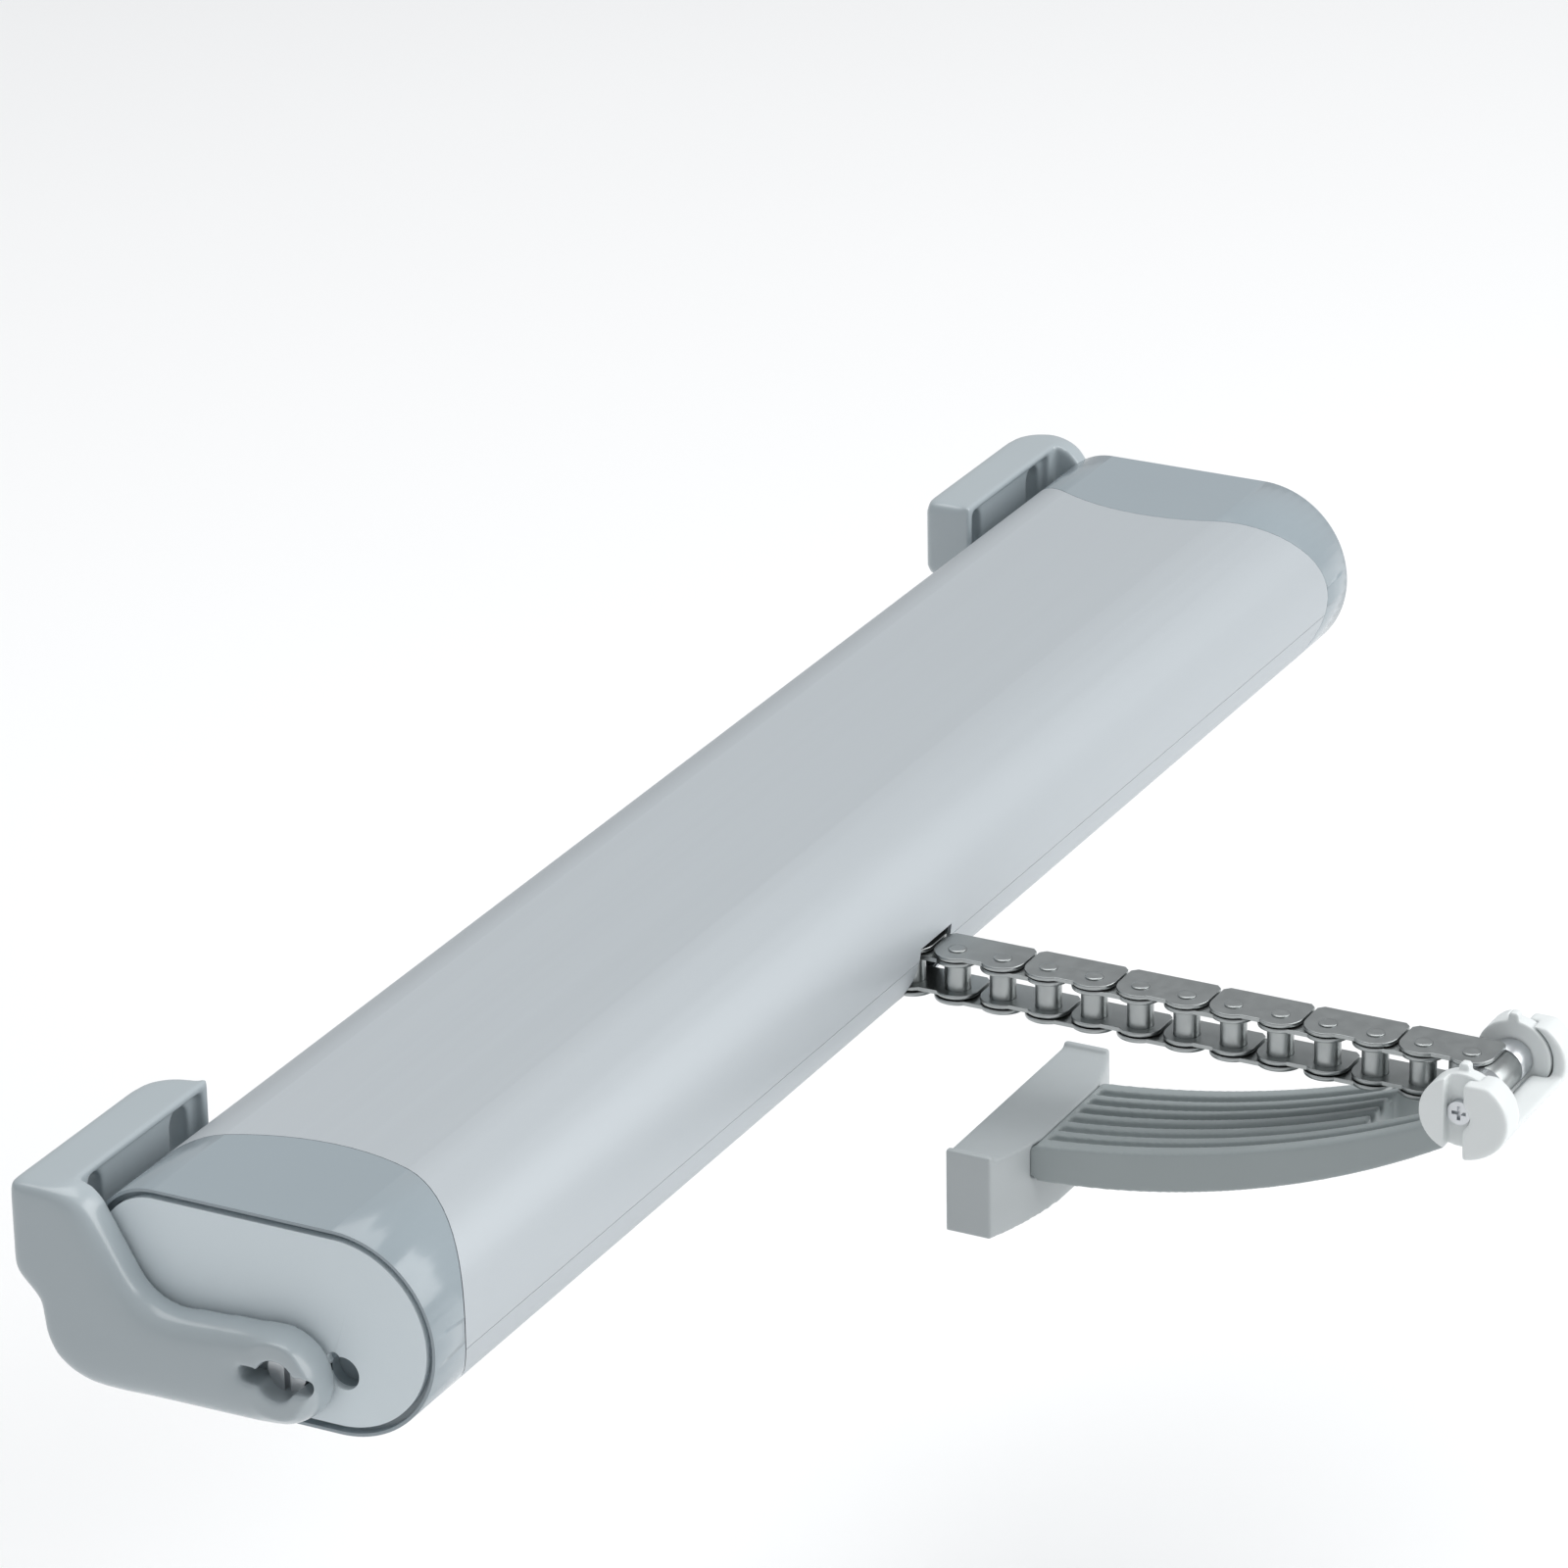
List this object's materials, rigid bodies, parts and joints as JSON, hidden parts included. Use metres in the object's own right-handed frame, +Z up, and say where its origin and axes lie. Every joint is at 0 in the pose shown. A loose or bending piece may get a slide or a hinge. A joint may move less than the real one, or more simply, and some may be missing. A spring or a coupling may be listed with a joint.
{
  "type": "window chain actuator",
  "caption": "Electric push-chain opener: a tilting extruded casing between two screw-on brackets, with a ribbed sash bracket on the chain's tip.",
  "frame": {"origin": "on the plane of the window frame that the two bracket feet are screwed to, midway between them along the casing and level with the middle of the feet", "axes": "+X along the casing, +Y into the window frame, so the chain pushes along -Y, +Z up"},
  "size_m": [0.402, 0.2034, 0.0674],
  "materials": {
    "anodised_profile": "satin anodised extrusion",
    "cap_gloss": "smooth glossy moulding",
    "face_matt": "fine matt moulding",
    "bracket_paint": "glossy paint on a die casting",
    "zinc_steel": "bright zinc plating",
    "guide_grey": "matt moulding",
    "bronze": "sintered bronze",
    "black_plastic": "matt moulding",
    "board_green": "solder mask",
    "part_blue": "gloss moulding",
    "part_white": "gloss sleeve",
    "rubber_black": "moulded rubber",
    "chain_steel": "stamped stainless steel",
    "gear_steel": "machined steel",
    "copper_winding": "lacquered windings on laminations",
    "sash_matt": "matt glass-filled moulding",
    "foot_pale": "matt moulding",
    "clip_white": "semi-gloss moulding"
  },
  "bodies": {
    "frame": {"bracket_left": "bracket_paint", "bracket_right": "bracket_paint"},
    "pin_left": {"pivot_pin_left": "zinc_steel"},
    "pin_right": {"pivot_pin_right": "zinc_steel"},
    "casing": {"casing_cover": "anodised_profile", "casing_base": "anodised_profile", "end_cap_left": "cap_gloss", "end_cap_right": "cap_gloss", "face_plate_left": "face_matt", "face_plate_right": "face_matt", "cap_screws": "zinc_steel", "chain_exit_guide": "guide_grey", "gearbox_floor": "zinc_steel", "gearbox_roof": "zinc_steel", "gearbox_pillars": "zinc_steel", "gearbox_screws": "zinc_steel", "shaft_bushes": "bronze", "motor_can": "zinc_steel", "motor_end_bell": "black_plastic", "motor_strap": "zinc_steel", "chain_magazine": "black_plastic", "circuit_board": "board_green", "board_spacers": "bronze", "terminal_block": "board_green", "relays": "part_blue", "board_capacitors": "part_blue", "limit_switch": "black_plastic", "power_board": "board_green", "transformer": "black_plastic", "mains_capacitor": "part_white", "cable_grommet": "rubber_black"},
    "chain_run": {"run_outer_plates": "chain_steel", "run_inner_plates": "chain_steel", "run_bushes": "chain_steel", "run_pins_set": "chain_steel", "end_block": "chain_steel", "tip_barrel": "zinc_steel"},
    "stored_run": {"stored_outer_plates": "chain_steel", "stored_inner_plates": "chain_steel", "stored_bushes": "chain_steel", "stored_pins_set": "chain_steel"},
    "sprocket_set": {"sprocket": "gear_steel", "sprocket_shaft": "gear_steel", "main_gear": "gear_steel"},
    "idler_set": {"idler_shaft": "gear_steel", "idler_pinion": "gear_steel", "worm_wheel": "bronze"},
    "armature": {"worm": "gear_steel", "motor_shaft": "gear_steel", "rotor": "copper_winding"},
    "sash_bracket": {"sash_arm": "sash_matt", "pivot_yoke": "clip_white", "sash_foot_base": "sash_matt", "sash_foot_cover": "foot_pale", "tip_pin": "zinc_steel"},
    "clip": {"release_clip": "clip_white"}
  },
  "joints": [
    {"name": "casing_tilt", "type": "hinge", "parent": "frame", "child": "casing", "pos_m": [0, -0.0522, -0.0183], "axis": [1, 0, 0], "range_deg": [-4, 30]},
    {"name": "pin_turn_left", "type": "hinge", "parent": "frame", "child": "pin_left", "pos_m": [-0.195, -0.0522, -0.0183], "axis": [1, 0, 0], "range_deg": [0, 90]},
    {"name": "pin_turn_right", "type": "hinge", "parent": "frame", "child": "pin_right", "pos_m": [0.195, -0.0522, -0.0183], "axis": [1, 0, 0], "range_deg": [0, 90]},
    {"name": "chain_feed", "type": "slide", "parent": "casing", "child": "chain_run", "axis": [0, -1, 0], "range_m": [-0.025, 0.025]},
    {"name": "stored_slide", "type": "slide", "parent": "casing", "child": "stored_run", "axis": [1, 0, 0], "range_m": [-0.025, 0.025]},
    {"name": "sprocket_turn", "type": "hinge", "parent": "casing", "child": "sprocket_set", "pos_m": [-0.01613, -0.03678, -0.0183], "axis": [0, 0, 1], "range_deg": [-119, 119]},
    {"name": "idler_turn", "type": "hinge", "parent": "casing", "child": "idler_set", "pos_m": [0.00987, -0.03678, -0.008], "axis": [0, 0, 1], "range_deg": [-395, 395]},
    {"name": "worm_turn", "type": "hinge", "parent": "casing", "child": "armature", "pos_m": [0.03, -0.05278, -0.008], "axis": [1, 0, 0], "range_deg": [-9460, 9460]},
    {"name": "sash_tilt", "type": "hinge", "parent": "chain_run", "child": "sash_bracket", "pos_m": [-0.004, -0.19298, -0.0183], "axis": [1, 0, 0], "range_deg": [-40, 5]},
    {"name": "clip_slide", "type": "slide", "parent": "sash_bracket", "child": "clip", "axis": [0, -1, 0], "range_m": [0, 0.007]}
  ],
  "couplings": [
    {"joint": "stored_slide", "follows": "chain_feed", "ratio": 1},
    {"joint": "sprocket_turn", "follows": "chain_feed", "rad_per_m": -82.457},
    {"joint": "idler_turn", "follows": "chain_feed", "rad_per_m": 274.86},
    {"joint": "worm_turn", "follows": "chain_feed", "rad_per_m": -6596.5}
  ]
}
